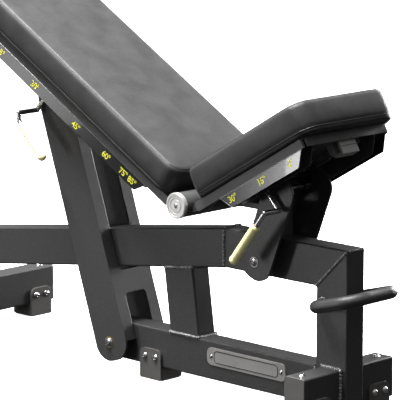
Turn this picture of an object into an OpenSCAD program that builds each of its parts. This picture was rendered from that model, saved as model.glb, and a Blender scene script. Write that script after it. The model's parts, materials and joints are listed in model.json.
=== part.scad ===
// Adjustable weight bench: a two-beam steel frame, a seat and a backrest that share one hinge, and a
// channel-section prop under each. X runs from the head end to the seat end, Z is up, millimetres.

/* [Frame] */
// Depth of every frame tube
tube_h = 80; // [60:1:100]
// Width of every frame tube
tube_w = 50; // [40:1:60]
// Wall of the frame tubes
tube_t = 3; // [2:0.5:3]
// Outer corner radius of the frame tubes
tube_r = 4; // [4:0.5:8]
// Height of the undersides of the low tubes above the floor
foot_gap = 28; // [24:1:34]
// Height of the upper beam's top at the seat end
beam_top = 343; // [335:1:350]
// Length of the level part of the upper beam, from the front face of the post
level_len = 323; // [300:1:340]
// Slope of the rear part of the upper beam, in degrees
rear_slope = 7.78; // [6:0.1:9]
// Distance between the middles of the two cross tubes
wheelbase = 1103; // [1050:1:1150]
// Length of the rear cross tube
rear_cross = 500; // [440:1:560]
// Length over the front cross tubes
front_cross = 260; // [240:1:320]
// Where the lower beam ends, behind the front face of the post
low_beam_end = 650; // [640:1:670]
// Where the strut leaves the lower beam, behind the front face of the post
strut_back = 461.5; // [440:0.5:480]

/* [Handle and wheels] */
// Diameter of the lift handle's tube
handle_d = 25; // [20:1:30]
// Width over the lift handle
handle_w = 160; // [140:1:200]
// How far the handle's bar stands in front of the post, to its centre
handle_reach = 51; // [40:1:70]
// Diameter of the transport wheels
wheel_d = 64; // [50:1:66]
// Width of the transport wheels
wheel_w = 24; // [18:1:30]

/* [Hinge] */
// Distance of the pad hinge behind the front face of the post
hinge_back = 345; // [340:1:350]
// Height of the pad hinge
hinge_z = 400; // [397:1:403]
// Outer diameter of the hinge knuckles
knuckle_d = 50; // [46:1:50]
// Diameter of the hinge shaft
shaft_d = 25; // [20:1:26]
// Diameter of the hinge end caps
cap_d = 52; // [50:1:54]

/* [Seat and backrest] */
// Angle of the seat and of the backrest as stored
pad_tilt = 30; // [28:1:32]
// Width of the pads
pad_w = 272; // [260:1:290]
// Thickness of the pads
pad_t = 68; // [60:1:70]
// Start of the seat pad, from the hinge
seat_a0 = 50; // [46:1:60]
// End of the seat pad, from the hinge
seat_a1 = 386; // [376:1:396]
// Start of the backrest pad, from the hinge
back_a0 = 36; // [34:1:50]
// End of the backrest pad, from the hinge
back_a1 = 838; // [800:1:850]
// Width over the steel trays and their scale plates
tray_w = 243; // [230:1:250]
// Depth of the trays' rims below the hinge line
rim_n = 29; // [27:1:31]
// Depth of the scale plates below the hinge line
scale_n = 57; // [50:1:60]

/* [Props] */
// Width over the channel-section props
prop_w = 116; // [110:1:120]
// Sheet thickness of the props
prop_t = 5; // [4:0.5:6]
// Lean of the seat prop as stored, in degrees
seat_lean = 21; // [20:0.5:22]
// Lean of the backrest prop as stored, in degrees
back_lean = 18.8; // [18:0.1:19.5]
// Distance of the seat prop's latch bar from its pivot
seat_latch = 169.2; // [168:0.1:170]
// Distance of the backrest prop's latch bar from its pivot
back_latch = 569; // [566:0.5:570]
// Distance of the latch bars from the props' middle lines
latch_x = 20; // [18:1:22]

/* [Fasteners] */
// Head diameter of the prop pivot bolts
pivot_head_d = 18; // [16:1:24]
// Diameter of the prop pivot bolts
bolt_d = 16; // [12:1:16]
// Diameter of the rods of the release levers
lever_d = 10; // [8:1:12]

/* [Hidden] */
$fn = 48;
e = 0.01;
low_top = foot_gap + tube_h;                        // top of the lower beam and the cross tubes
front_x = -tube_h / 2;                              // middle of the front post and cross tubes
rear_x = front_x - wheelbase;                       // middle of the rear post and cross tube
hinge = [-hinge_back, 0, hinge_z];
seat_pivot = [-211, 0, beam_top - 47];
back_pivot = [-618, 0, foot_gap + 39];
knuckle_r = knuckle_d / 2;
shaft_r = shaft_d / 2;
run = 0.05;                                         // radial running clearance
tray_y = tray_w / 2;
sheet = 3;                                          // tray and plate sheet
floor_n = -10;                                      // pads rest on the trays here
latch_r = 6;
rack_n = 28.5;                                      // lower edge of the rack bars
flange_y = prop_w / 2;
bolt_r = bolt_d / 2;
bush_r = bolt_r + 4;
pivot_hole_r = 16;                                  // clears the pivot bolts in the frame tubes
hinge_bush_r = 15;
seat_knuckle = [79, 118];                           // from and to, on each side of the middle
back_knuckle = [23, 78];
wheel_x = rear_x - tube_w / 2 - 40;                 // wheel axle behind the rear cross tube
wheel_y = 140;
wheel_z = wheel_d / 2 + 4;
x_front = handle_reach + handle_d / 2;
x_rear = wheel_x - wheel_d / 2;
mid_x = (x_front + x_rear) / 2;                     // the model's origin, in frame measure

// ---- helpers ----
module frame_at() { translate([-mid_x, 0, 0]) children(); }
module seat_at() { frame_at() translate(hinge) rotate([0, -pad_tilt, 0]) children(); }
module back_at() { frame_at() translate(hinge) rotate([0, pad_tilt, 0]) mirror([1, 0, 0]) children(); }
module seat_prop_at() { frame_at() translate(seat_pivot) rotate([0, seat_lean, 0]) children(); }
module back_prop_at() { frame_at() translate(back_pivot) rotate([0, -back_lean, 0]) children(); }

// rounded rectangle about the origin
module rrect(w, h, r) {
    square([w - 2 * r, h], center = true);
    square([w, h - 2 * r], center = true);
    for (x = [-1, 1], y = [-1, 1]) translate([x * (w / 2 - r), y * (h / 2 - r)]) circle(r);
}
// outline in the X-Z plane, carried from y0 to y1
module slab(y0, y1) { translate([0, y1, 0]) rotate([90, 0, 0]) linear_extrude(y1 - y0) children(); }
module slabs(y0, y1) { slab(y0, y1) children(); slab(-y1, -y0) children(); }
// round bar along Y
module bar_y(r, y0, y1) { translate([0, y1, 0]) rotate([90, 0, 0]) cylinder(r = r, h = y1 - y0); }
module bars_y(r, y0, y1) { bar_y(r, y0, y1); bar_y(r, -y1, -y0); }
module ring_y(ro, ri, y0, y1) { difference() { bar_y(ro, y0, y1); bar_y(ri, y0 - 1, y1 + 1); } }
module rings_y(ro, ri, y0, y1) { ring_y(ro, ri, y0, y1); ring_y(ro, ri, -y1, -y0); }
// puts local Z on the line from a to b
module along(a, b) {
    d = b - a;
    translate(a) rotate([0, acos(d[2] / norm(d)), atan2(d[1], d[0])]) children();
}
module rod(a, b, r) { along(a, b) cylinder(r = r, h = norm(b - a)); }
module bent_rod(p, r) {
    for (i = [0:len(p) - 2]) rod(p[i], p[i + 1], r);
    for (i = [1:len(p) - 2]) translate(p[i]) sphere(r + 0.2);
}
// frame tube's section, w wide and h high
module tube_section(w, h) { difference() {
    rrect(w, h, tube_r);
    rrect(w - 2 * tube_t, h - 2 * tube_t, tube_r - tube_t);
} }
// frame tube along X from x0 to x1, its bottom at z
module tube_x(x0, x1, z) { translate([x0, 0, z + tube_h / 2]) rotate([90, 0, 90])
    linear_extrude(x1 - x0) tube_section(tube_w, tube_h); }
// frame tube along Z, its depth along X
module tube_z(x, z0, z1) { translate([x, 0, z0]) linear_extrude(z1 - z0) tube_section(tube_h, tube_w); }
// frame tube along Y, its depth along Z
module tube_y(x, y0, y1, z) { translate([x, y1, z + tube_h / 2]) rotate([90, 0, 0])
    linear_extrude(y1 - y0) tube_section(tube_w, tube_h); }
// domed socket screw: head on the plane z = 0, shank below
module button_screw(r, head, shank) {
    dome = (head * head + r * r) / (2 * head);
    difference() {
        union() {
            intersection() {
                translate([0, 0, head - dome]) sphere(dome);
                cylinder(r = r, h = head);
            }
            translate([0, 0, -shank]) cylinder(r = r * 0.5, h = shank + e);
        }
        translate([0, 0, head * 0.35]) cylinder(r = r * 0.42, h = head, $fn = 6);
    }
}

// ---- frame ----
module front_post() { color("#3c3c3e") frame_at() difference() {
    tube_z(front_x, foot_gap, beam_top);
    translate([-tube_h, 0, beam_top - tube_h]) rotate([0, -45, 0])
        translate([-3 * tube_h, -tube_w, 0]) cube([6 * tube_h, 2 * tube_w, 2 * tube_h]);
} }

module upper_beam_front() { color("#3c3c3e") frame_at() difference() {
    tube_x(-level_len, 0, beam_top - tube_h);
    translate([-tube_h, 0, beam_top - tube_h]) rotate([0, 45, 0])
        translate([0, -tube_w, -3 * tube_h]) cube([2 * tube_h, 2 * tube_w, 6 * tube_h]);
    translate(seat_pivot) bar_y(pivot_hole_r, -40, 40);
} }

// the sloped tube, from the seam down to the mitre over the rear post
slope_drop = tan(rear_slope);
rear_face = rear_x - tube_h / 2;                    // rear face of the rear post
rear_top = beam_top - (-level_len - rear_face) * slope_drop;
module upper_beam_rear() { color("#3c3c3e") frame_at() difference() {
    translate([-level_len, 0, beam_top]) rotate([0, 180 - rear_slope, 0]) mirror([0, 0, 1])
        translate([0, 0, -tube_h]) tube_x(-20, 1000, 0);
    translate([-level_len, -tube_w, 0]) cube([60, 2 * tube_w, 600]);
    rear_mitre() translate([-400, -tube_w, -400]) cube([400, 2 * tube_w, 800]);
} }
// the rear mitre runs from the outer top corner to the inner bottom corner
mitre_a = atan2(tube_h / cos(rear_slope) - tube_h * slope_drop, tube_h);
module rear_mitre() { translate([rear_face, 0, rear_top]) rotate([0, -(90 - mitre_a), 0]) children(); }
module rear_post() { color("#3c3c3e") frame_at() difference() {
    tube_z(rear_x, foot_gap, rear_top + 30);
    rear_mitre() translate([0, -tube_w, -400]) cube([400, 2 * tube_w, 800]);
} }

module center_strut() { color("#3c3c3e") frame_at() difference() {
    translate([-strut_back, 0, foot_gap]) rotate([0, -rear_slope, 0]) translate([0, 0, -20])
        tube_z(tube_h / 2 - 2, 0, 400);
    translate([-900, -tube_w, -200]) cube([900, 2 * tube_w, 200 + low_top]);
    translate([-level_len, 0, beam_top]) rotate([0, -rear_slope, 0])
        translate([-600, -tube_w, -tube_h]) cube([900, 2 * tube_w, 400]);
} }

module lower_beam() { color("#3c3c3e") frame_at() difference() {
    tube_x(-low_beam_end, -tube_h, foot_gap);
    translate(back_pivot) bar_y(pivot_hole_r, -40, 40);
} }

plug_t = 4;                                         // face of the end plugs
plug_screw_in = 22;                                 // the plugs' screws, from the plugs' faces
module front_cross_tubes() { color("#3c3c3e") frame_at() for (s = [0, 1]) mirror([0, s, 0]) difference() {
    tube_y(front_x, tube_w / 2, front_cross / 2 - plug_t, foot_gap);
    translate([front_x, front_cross / 2 - plug_screw_in, low_top - 10]) cylinder(r = 4.5, h = 20);
} }

module rear_cross_tubes() { color("#3c3c3e") frame_at() for (s = [0, 1]) mirror([0, s, 0]) difference() {
    tube_y(rear_x, tube_w / 2, rear_cross / 2 - plug_t, foot_gap);
    translate([rear_x, rear_cross / 2 - plug_screw_in, low_top - 10]) cylinder(r = 4.5, h = 20);
} }

// plastic plugs close the open tube ends: a face plate and a spigot
module plug() { rotate([-90, 0, 0]) {
    linear_extrude(plug_t) rrect(tube_w, tube_h, tube_r);
    translate([0, 0, -30]) linear_extrude(30 + e) rrect(tube_w - 2 * tube_t - 1, tube_h - 2 * tube_t - 1, 2);
} }
cross_ends = [[front_x, front_cross / 2], [rear_x, rear_cross / 2]];
module end_plugs() { color("#5e5b5b") frame_at() {
    for (s = [0, 1], p = cross_ends) mirror([0, s, 0]) difference() {
        translate([p[0], p[1] - plug_t, foot_gap + tube_h / 2]) plug();
        translate([p[0], p[1] - plug_screw_in, low_top - 34]) cylinder(r = 4.2, h = 40);
    }
    difference() {
        translate([-low_beam_end, 0, foot_gap + tube_h / 2]) rotate([0, 0, 90]) plug();
        translate(back_pivot) bar_y(pivot_hole_r + 1, -40, 40);
    }
} }
module end_plug_screws() { color("#c9c9cc") frame_at() for (s = [-1, 1], p = cross_ends)
    translate([p[0], s * (p[1] - plug_screw_in), low_top]) button_screw(8, 4.5, 24); }

// moulded foot: a sole under a tube along Y, and a cheek on each side with two bolts
foot_w = 60;
foot_top = 64;
foot_r = 14;                                        // top corners of the cheeks
sole_r = 4;
cheek_t = 5.5;
foot_bolt_y = 15;
foot_bolt_z = foot_top - 17;
module cheek() {
    translate([-foot_w / 2, sole_r]) square([foot_w, foot_top - sole_r - foot_r]);
    translate([-foot_w / 2 + sole_r, 0]) square([foot_w - 2 * sole_r, foot_top - foot_r]);
    translate([-foot_w / 2 + foot_r, 0]) square([foot_w - 2 * foot_r, foot_top]);
    for (q = [-1, 1]) {
        translate([q * (foot_w / 2 - foot_r), foot_top - foot_r]) circle(foot_r);
        translate([q * (foot_w / 2 - sole_r), sole_r]) circle(sole_r);
    }
}
module foot() {
    difference() {
        for (s = [0, 1]) mirror([s, 0, 0]) translate([tube_w / 2, 0, 0]) rotate([90, 0, 90])
            linear_extrude(cheek_t) cheek();
        for (q = [-1, 1]) translate([-60, q * foot_bolt_y, foot_bolt_z]) rotate([0, 90, 0])
            cylinder(r = 4, h = 120);
    }
    translate([-tube_w / 2, -foot_w / 2, 0]) cube([tube_w, foot_w, foot_gap]);
}
front_foot_y = front_cross / 2 - 45;
rear_foot_y = rear_cross / 2 - 42;
mid_foot_x = -526;
cross_foot_places = [for (s = [-1, 1], p = [[front_x, front_foot_y], [rear_x, rear_foot_y]])
    [p[0], s * p[1], 0]];
module cross_feet() { color("#6b6666") frame_at() for (p = cross_foot_places) translate(p) foot(); }
module middle_foot_at() { translate([mid_foot_x, 0, 0]) rotate([0, 0, 90]) children(); }
module middle_foot() { color("#6b6666") frame_at() middle_foot_at() foot(); }
module foot_bolt_set() { for (s = [-1, 1], q = [-1, 1])
    translate([s * (tube_w / 2 + cheek_t), q * foot_bolt_y, foot_bolt_z]) rotate([0, s * 90, 0])
        button_screw(7.5, 5, cheek_t); }
module foot_bolts() { color("#c9c9cc") frame_at() {
    for (p = cross_foot_places) translate(p) foot_bolt_set();
    middle_foot_at() foot_bolt_set();
} }

// lift handle: a loop that leaves the sides of the post and rises towards the front
handle_z = 229;
handle_back = -62;
handle_bend = 37.5;
handle_tilt = 15.5;
module bend(r, rr, a) { rotate_extrude(angle = a) translate([r, 0]) circle(rr); }
handle_len = (handle_reach - handle_back) / cos(handle_tilt);
handle_r = handle_d / 2;
handle_y = handle_w / 2 - handle_r;                 // middle of the side rails
module lift_handle() { color("#3c3c3e") frame_at()
    translate([handle_back, 0, handle_z]) rotate([0, -handle_tilt, 0]) for (s = [0, 1]) mirror([0, s, 0]) {
        corner_y = handle_y - handle_bend;
        translate([0, -tube_w / 2, 0]) rotate([90, 0, 0]) cylinder(r = handle_r, h = corner_y - tube_w / 2);
        translate([handle_bend, -corner_y, 0]) rotate([0, 0, 180]) bend(handle_bend, handle_r, 90);
        translate([handle_bend, -handle_y, 0]) rotate([0, 90, 0])
            cylinder(r = handle_r, h = handle_len - 2 * handle_bend);
        translate([handle_len - handle_bend, -corner_y, 0]) rotate([0, 0, -90]) bend(handle_bend, handle_r, 90);
        translate([handle_len, -corner_y, 0]) rotate([-90, 0, 0]) cylinder(r = handle_r, h = corner_y);
    }
}

// plain badge on the near side of the lower beam
badge_x = -262;
badge_z = foot_gap + 49;
badge_t = 2;
badge_size = [212, 36];
rivet_x = badge_size[0] / 2 - 12;
rivet_r = 2.5;
module badge_plate() { color("#b9b9b4") frame_at() translate([badge_x, 0, badge_z])
    slab(-tube_w / 2 - badge_t, -tube_w / 2) difference() {
        rrect(badge_size[0], badge_size[1], 12);
        for (s = [-1, 1]) translate([s * rivet_x, 0]) circle(rivet_r);
    }
}
module badge_rivets() { color("#c9c9cc") frame_at() for (s = [-1, 1])
    translate([badge_x + s * rivet_x, -tube_w / 2 - badge_t, badge_z]) rotate([90, 0, 0]) {
        intersection() {
            translate([0, 0, -3]) sphere(5.4);
            cylinder(r = 4.5, h = 3);
        }
        translate([0, 0, -badge_t]) cylinder(r = rivet_r, h = badge_t + e);
    }
}

// ---- hinge ----
// carrier: an upright on the beam inside the seat prop, and an arm that reaches back to the middle knuckle
upright_x = 142;                                    // middle of the upright, in front of the hinge
upright_w = 44;
carrier_y = 20;
arm_n = [-9, 3];                                    // underside and top of the arm, from the hinge
cap_y = [132, 138.5, 140];                          // end cap: its foot, its rim and its front
cap_screw_r = 5;
module hinge_carrier() { color("#3c3c3e") frame_at() translate(hinge) difference() {
    union() {
        slab(-carrier_y, carrier_y) union() {
            translate([0, arm_n[0]]) square([upright_x + upright_w / 2, arm_n[1] - arm_n[0]]);
            translate([upright_x - upright_w / 2, beam_top - hinge_z])
                square([upright_w, hinge_z - beam_top + arm_n[0] + e]);
        }
        bar_y(knuckle_r, -back_knuckle[0] + 1, back_knuckle[0] - 1);
    }
    bar_y(shaft_r, -30, 30);
} }
module hinge_shaft() { color("#c9c9cc") frame_at() translate(hinge) difference() {
    bar_y(shaft_r, -cap_y[0], cap_y[0]);
    for (s = [-1, 1]) translate([0, s * cap_y[0], 0]) bar_y(cap_screw_r / 2, -20, 20);
} }
module hinge_end_caps() { color("#cfcaca") frame_at() translate(hinge) for (s = [0, 1]) mirror([0, s, 0])
    difference() {
        union() {
            bar_y(cap_d / 2 - 1.5, cap_y[0], cap_y[2]);
            bar_y(cap_d / 2, cap_y[0], cap_y[1]);
        }
        bar_y(cap_d / 2 - 5, cap_y[2] - 0.8, 145);
        ring_y(cap_d / 2 - 11, cap_d / 2 - 13, cap_y[2] - 1.6, 145);
        bar_y(cap_screw_r / 2, 130, 150);
    }
}
module hinge_cap_screws() { color("#c9c9cc") frame_at() translate(hinge) for (s = [0, 1]) mirror([0, s, 0])
    translate([0, cap_y[2] - 0.8, 0]) rotate([-90, 0, 0]) button_screw(cap_screw_r, 2.4, 24); }

// ---- prop pivots on the frame ----
pivots = [seat_pivot, back_pivot];
washer_r = pivot_head_d / 2 + 1.5;
washer_y = [flange_y + 0.4, flange_y + 1.5];
nut_h = 11;
module seat_prop_spacers() { color("#6f6f73") frame_at() translate(seat_pivot)
    rings_y(pivot_hole_r, bolt_r, 0.5, flange_y - prop_t - 0.5); }
module pivot_bolt() {
    bar_y(bolt_r, -washer_y[1], washer_y[1] + nut_h);
    translate([0, -washer_y[1], 0]) rotate([90, 0, 0]) button_screw(pivot_head_d / 2, 6, 1);
}
module seat_prop_bolt() { color("#c9c9cc") frame_at() translate(seat_pivot) pivot_bolt(); }
module backrest_prop_bolt() { color("#c9c9cc") frame_at() translate(back_pivot) pivot_bolt(); }
module pivot_washers() { color("#a8a8ac") frame_at() for (p = pivots) translate(p)
    rings_y(washer_r, bolt_r, washer_y[0], washer_y[1]); }
module pivot_nuts() { color("#c9c9cc") frame_at() for (p = pivots) translate(p + [0, washer_y[1], 0])
    rotate([-90, 0, 0]) difference() {
        cylinder(r = 13.5, h = nut_h, $fn = 6);
        translate([0, 0, -1]) cylinder(r = bolt_r, h = nut_h + 2);
    }
}

// ---- transport wheels ----
bracket_r = 13;
bracket_up = 33;                                    // the brackets' height above the axle, at the tube
bracket_t = 5;
bracket_x = rear_x - tube_w / 2;                    // rear face of the rear cross tube
axle_r = 6;
module wheel_at(s) { translate([wheel_x, s * wheel_y, wheel_z]) children(); }
module wheel_brackets() { color("#3c3c3e") frame_at() for (s = [-1, 1], q = [-1, 1])
    translate([0, s * wheel_y + q * (wheel_w / 2 + 4.5), 0]) difference() {
        slab(-bracket_t / 2, bracket_t / 2) union() {
            translate([wheel_x, wheel_z]) circle(bracket_r);
            polygon([[wheel_x, wheel_z - bracket_r], [bracket_x, wheel_z - bracket_r],
                [bracket_x, wheel_z + bracket_up], [bracket_x - 10, wheel_z + bracket_up],
                [wheel_x, wheel_z + bracket_r]]);
        }
        translate([wheel_x, 0, wheel_z]) bar_y(axle_r, -bracket_t, bracket_t);
    }
}
module wheel_axles() { color("#c9c9cc") frame_at() for (s = [-1, 1]) wheel_at(s) {
    bar_y(axle_r, -wheel_w / 2 - 10, wheel_w / 2 + 10);
    bars_y(10, wheel_w / 2 + 7, wheel_w / 2 + 12);
} }
rim_r = 20;                                         // where the tyres meet the hubs
tyre_r = 3;                                         // rounded shoulders of the tyres
module wheel_tyre(s) { wheel_at(s) rotate([90, 0, 0]) rotate_extrude() difference() {
    union() {
        translate([rim_r, -wheel_w / 2 + tyre_r]) square([wheel_d / 2 - rim_r, wheel_w - 2 * tyre_r]);
        translate([rim_r, -wheel_w / 2]) square([wheel_d / 2 - rim_r - tyre_r, wheel_w]);
        for (q = [-1, 1]) translate([wheel_d / 2 - tyre_r, q * (wheel_w / 2 - tyre_r)]) circle(tyre_r);
    }
    for (q = [-1, 1]) translate([wheel_d / 2, q * 4]) circle(1.2);
} }
module wheel_hub(s) { wheel_at(s) {
    ring_y(rim_r, rim_r - 3, -wheel_w / 2, wheel_w / 2);
    ring_y(rim_r - 2, axle_r + run, -4, 4);
    ring_y(11, axle_r + run, -wheel_w / 2, wheel_w / 2);
} }
module near_wheel_tyre() { color("#1c1c1e") frame_at() wheel_tyre(-1); }
module far_wheel_tyre() { color("#1c1c1e") frame_at() wheel_tyre(1); }
module near_wheel_hub() { color("#6b6666") frame_at() wheel_hub(-1); }
module far_wheel_hub() { color("#6b6666") frame_at() wheel_hub(1); }

// ---- pads, boards and trays: local X runs along the pad from the hinge, local Z out of the pad ----
clear_a = 31.5;                                     // the pad ends stay under this angle from the hinge
pad_r0 = 14;                                        // corner radius at the hinge end
pad_r1 = 36;                                        // corner radius at the free end
seat_tray_a1 = seat_a1 - 29;
back_tray_a1 = back_a1 - 14;
tray_a0 = 32;
board_t = 12;
board_inset = 12;
module pad(a0, a1) {
    n1 = floor_n + pad_t;
    w = pad_w / 2;
    intersection() {
        slab(-w, w)
            polygon([[a0, floor_n], [a1, floor_n], [a1, n1], [n1 / tan(clear_a), n1], [a0, a0 * tan(clear_a)]]);
        translate([0, 0, floor_n - 1]) linear_extrude(pad_t + 2) union() {
            translate([a0, -w + pad_r0]) square([a1 - a0 - pad_r1, 2 * (w - pad_r0)]);
            translate([a0 + pad_r0, -w]) square([a1 - a0 - pad_r0 - pad_r1, 2 * w]);
            translate([a1 - pad_r1 - e, -w + pad_r1]) square([pad_r1 + e, 2 * (w - pad_r1)]);
            for (s = [-1, 1]) {
                translate([a0 + pad_r0, s * (w - pad_r0)]) circle(pad_r0);
                translate([a1 - pad_r1, s * (w - pad_r1)]) circle(pad_r1);
            }
        }
    }
}
// the plywood board let into the pad's underside, inside a tray that ends at tray_a1
module board(a0, tray_a1) { translate([a0 + board_inset, -tray_y + 6, floor_n])
    cube([tray_a1 - a0 - 2 * board_inset, tray_w - 12, board_t]); }
// room for the carrier's arm under the seat
module arm_room() { translate([0, -26, floor_n - 10]) cube([upright_x + 30, 52, 26]); }
// screws that hold the boards to the trays
seat_screw_a = [215, 300];
back_screw_a = [90, 330, 570, 790];
screw_y = 104;
module board_screws(rows) { for (a = rows, y = [-screw_y, screw_y])
    translate([a, y, floor_n - sheet]) rotate([180, 0, 0]) button_screw(5, 2.6, 12); }
module screw_holes(rows) { for (a = rows, y = [-screw_y, screw_y])
    translate([a, y, floor_n - sheet - 1]) cylinder(r = 2.5, h = 13); }

module seat_pad() { color("#3a3a3a") seat_at() difference() {
    pad(seat_a0, seat_a1);
    board(seat_a0, seat_tray_a1);
    arm_room();
} }
module seat_board() { color("#b08d5b") seat_at() difference() {
    board(seat_a0, seat_tray_a1);
    arm_room();
    screw_holes(seat_screw_a);
} }
module backrest_pad() { color("#3a3a3a") back_at() difference() {
    pad(back_a0, back_a1);
    board(back_a0, back_tray_a1);
} }
module backrest_board() { color("#b08d5b") back_at() difference() {
    board(back_a0, back_tray_a1);
    screw_holes(back_screw_a);
} }

// folded tray: a floor sheet under the pad and a rim on three sides, with clipped front corners
module tray(a1) {
    difference() {
        union() {
            translate([tray_a0, -tray_y, floor_n - sheet]) cube([a1 - tray_a0, tray_w, sheet]);
            slabs(tray_y - sheet, tray_y) polygon([[tray_a0, floor_n], [a1, floor_n], [a1, -rim_n],
                [tray_a0 + 4, -rim_n], [tray_a0, -rim_n + 4]]);
            translate([a1 - sheet, -tray_y, -rim_n]) cube([sheet, tray_w, rim_n + floor_n]);
        }
        for (s = [-1, 1]) translate([a1, s * tray_y, -rim_n - 1]) rotate([0, 0, 45])
            cube([12, 12, 60], center = true);
    }
}
module seat_tray() { color("#3c3c3e") seat_at() difference() {
    tray(seat_tray_a1);
    arm_room();
    screw_holes(seat_screw_a);
} }
module backrest_tray() { color("#3c3c3e") back_at() difference() {
    tray(back_tray_a1);
    screw_holes(back_screw_a);
} }

// satin scale plates outside, plain plates inside, both with slanted ends
seat_scale = [102, 342];                            // from and to, along the pad
back_scale = [100, 800];
plate_slant = 22;
inner_y = [88, 91];
module scale_outline(a) { polygon([[a[0], -rim_n], [a[1], -rim_n], [a[1] - plate_slant, -scale_n],
    [a[0] + plate_slant, -scale_n]]); }
module scale_plates(a) { slabs(tray_y - sheet, tray_y) scale_outline(a); }
module inner_plates(a) { slabs(inner_y[0], inner_y[1]) union() {
    scale_outline(a);
    translate([a[0], -rim_n - e]) square([a[1] - a[0], rim_n + floor_n - sheet + e]);
} }
module seat_scale_plates() { color("#161618") seat_at() scale_plates(seat_scale); }
module seat_inner_plates() { color("#2a2a2c") seat_at() inner_plates(seat_scale); }
module backrest_scale_plates() { color("#161618") back_at() scale_plates(back_scale); }
module backrest_inner_plates() { color("#2a2a2c") back_at() inner_plates(back_scale); }

// latch positions along a pad at tilt b: where the latch bar of the prop at p meets the racks
latch_gap = 0.5;
function latch_a(p, reach, b, side) = let (
    l = norm([reach, latch_x]),
    x = (hinge[0] - p[0]) * side,
    z = hinge[2] - p[2],
    h = -x * sin(b) + z * cos(b) - rack_n - latch_r - latch_gap,
    f = -x * cos(b) - z * sin(b))
    f + sqrt(max(0, l * l - h * h));
seat_steps = [for (b = [30, 15, 0]) latch_a(seat_pivot, seat_latch, b, 1)];
back_steps = [for (b = [85, 75, 60, 45, 30, 15, 0]) latch_a(back_pivot, back_latch, b, -1)];
rack_y = [62, 70];
rack_a0 = 150;
module racks(a1, steps) { difference() {
    slabs(rack_y[0], rack_y[1]) translate([rack_a0, -rack_n]) square([a1 - rack_a0, rack_n + floor_n - sheet]);
    for (a = steps) translate([a, 0, -rack_n - latch_r - latch_gap]) bar_y(latch_r + 3, -80, 80);
} }
module seat_racks() { color("#77777a") seat_at() racks(320, seat_steps); }
module backrest_racks() { color("#77777a") back_at() racks(800, back_steps); }

// hinge knuckles with the lugs that carry the trays
module knuckles(y, bore) { difference() {
    union() {
        bars_y(knuckle_r, y[0], y[1]);
        slabs(y[0], y[1]) polygon([[0, floor_n - sheet], [80, floor_n - sheet], [80, -18],
            [26, -knuckle_r], [0, -knuckle_r]]);
    }
    bar_y(bore, -200, 200);
} }
module seat_knuckles() { color("#3c3c3e") seat_at() {
    knuckles(seat_knuckle, shaft_r + run);
    rings_y(knuckle_r, shaft_r + run, seat_knuckle[1] - e, cap_y[0] - 0.5);
} }
module backrest_knuckles() { color("#3c3c3e") back_at() knuckles(back_knuckle, hinge_bush_r + run); }
module backrest_hinge_bushes() { color("#b58a3c") frame_at() translate(hinge)
    rings_y(hinge_bush_r, shaft_r + run, back_knuckle[0] - 0.5, back_knuckle[1] + 0.3); }

// bumper under the front of the seat, which lands on the beam at 0 degrees
bumper_y = 23.5;
bumper_a = [316, 350];
bumper_n = -54;
bumper_fold = -39;
module seat_bumper() { color("#9a9696") seat_at() difference() {
    slab(-bumper_y, bumper_y) polygon([[bumper_a[0], floor_n - sheet], [bumper_a[1], floor_n - sheet],
        [bumper_a[1], bumper_n], [bumper_a[0] + 12, bumper_n], [bumper_a[0], bumper_n + 12]]);
    translate([bumper_a[1] - 1.5, -bumper_y - 1, bumper_fold]) cube([3, 2 * bumper_y + 2, 1.2]);
    translate([bumper_a[0] + 14, -bumper_y - 1, bumper_n + 5]) cube([14, 2 * bumper_y + 2, 26]);
} }

module seat_board_screws() { color("#8c8c90") seat_at() board_screws(seat_screw_a); }
module backrest_board_screws() { color("#8c8c90") back_at() board_screws(back_screw_a); }

// ---- props: local Z runs along the prop from its pivot, local X across it ----
release_r = lever_d / 2;
seat_release = [-11, 150];
back_release = [0, 527];
web_gap = 29;                                       // half width of the openings in the webs
seat_web_x = -31;                                   // outer face of the seat prop's web
seat_web_z = [10, 160];
seat_arch = 114;                                    // the seat prop straddles the beam up to here
back_web_x = 50;                                    // outer face of the backrest prop's web
back_web_z = [-6, 520];
back_arch = 90;                                     // the backrest prop straddles the beam up to here
back_window = [138, 500];
module web_cut(z0, z1) { translate([-100, 0, (z0 + z1) / 2]) rotate([90, 0, 90])
    linear_extrude(200) rrect(2 * web_gap, z1 - z0, 8); }
module prop_holes(pivot_r, latch, release) {
    bar_y(pivot_r + run, -80, 80);
    translate([latch[0], 0, latch[1]]) bar_y(latch_r, -80, 80);
    translate([release[0], 0, release[1]]) bar_y(release_r + run, -80, 80);
}
module latch_bar(latch) { translate([latch[0], 0, latch[1]]) bar_y(latch_r, -74, 74); }

// round foot, straight sides, and a rounded head with an ear for the latch bar
module seat_flange() { difference() {
    union() {
        for (x = [0, 9]) translate([x, 0]) circle(34);
        translate([seat_web_x, 0]) square([74, 157]);
        translate([13, 157]) circle(30);
        translate([seat_web_x, 156]) square([62, 20]);
        translate([-latch_x, seat_latch]) circle(18);
        translate([-latch_x, seat_latch]) square([33, 18]);
    }
    translate([seat_web_x - 40, -60]) square([40, 400]);
} }
module seat_prop() { color("#3c3c3e") seat_prop_at() difference() {
    union() {
        slabs(flange_y - prop_t, flange_y) seat_flange();
        difference() {
            translate([seat_web_x, -flange_y + 1, seat_web_z[0]])
                cube([prop_t, prop_w - 2, seat_web_z[1] - seat_web_z[0]]);
            web_cut(-40, seat_arch);
        }
    }
    prop_holes(bolt_r, [-latch_x, seat_latch], seat_release);
} }
module seat_latch_bar() { color("#2a2a2c") seat_prop_at() latch_bar([-latch_x, seat_latch]); }

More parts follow.
